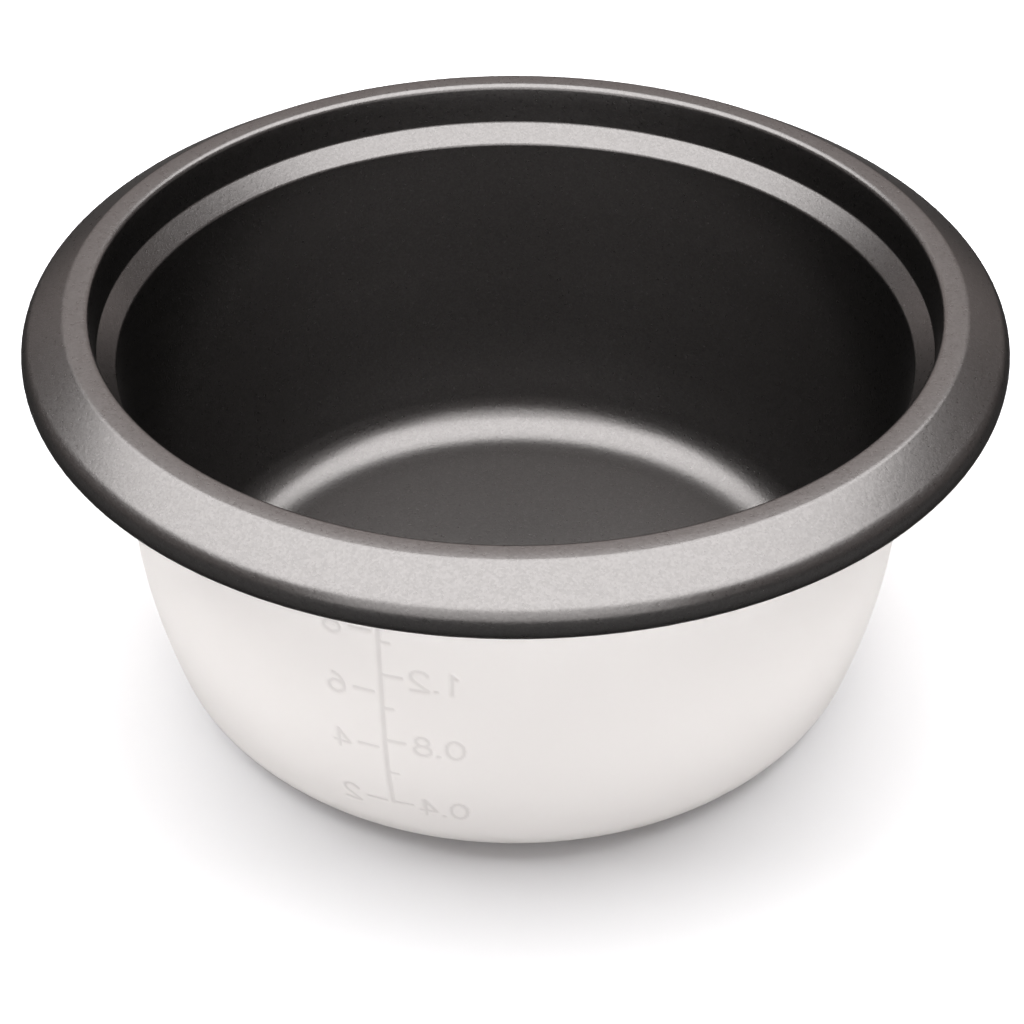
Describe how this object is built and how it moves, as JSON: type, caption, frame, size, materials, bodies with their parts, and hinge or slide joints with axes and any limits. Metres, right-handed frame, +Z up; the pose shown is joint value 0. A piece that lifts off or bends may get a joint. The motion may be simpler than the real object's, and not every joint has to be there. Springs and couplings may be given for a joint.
{
  "type": "rice cooker inner pot",
  "caption": "Round pressed cooking pot that lifts out of a rice cooker, with a dark non-stick lining, a pale outer coat, a lid ledge, a rolled rim and a pressed level scale.",
  "frame": {"origin": "middle of the flat base, on the surface that the pot stands on", "axes": "+Z up along the pot's axis, -Y towards the side beside which the level scale is pressed"},
  "size_m": [0.2108, 0.2108, 0.096],
  "materials": {
    "bare_aluminium": "turned satin",
    "nonstick_lining": "dark grey semi-gloss with metallic flake",
    "outer_coat": "cream satin"
  },
  "bodies": {
    "root": {"pot_shell": "bare_aluminium", "nonstick_lining": "nonstick_lining", "outer_coat": "outer_coat"}
  },
  "joints": []
}
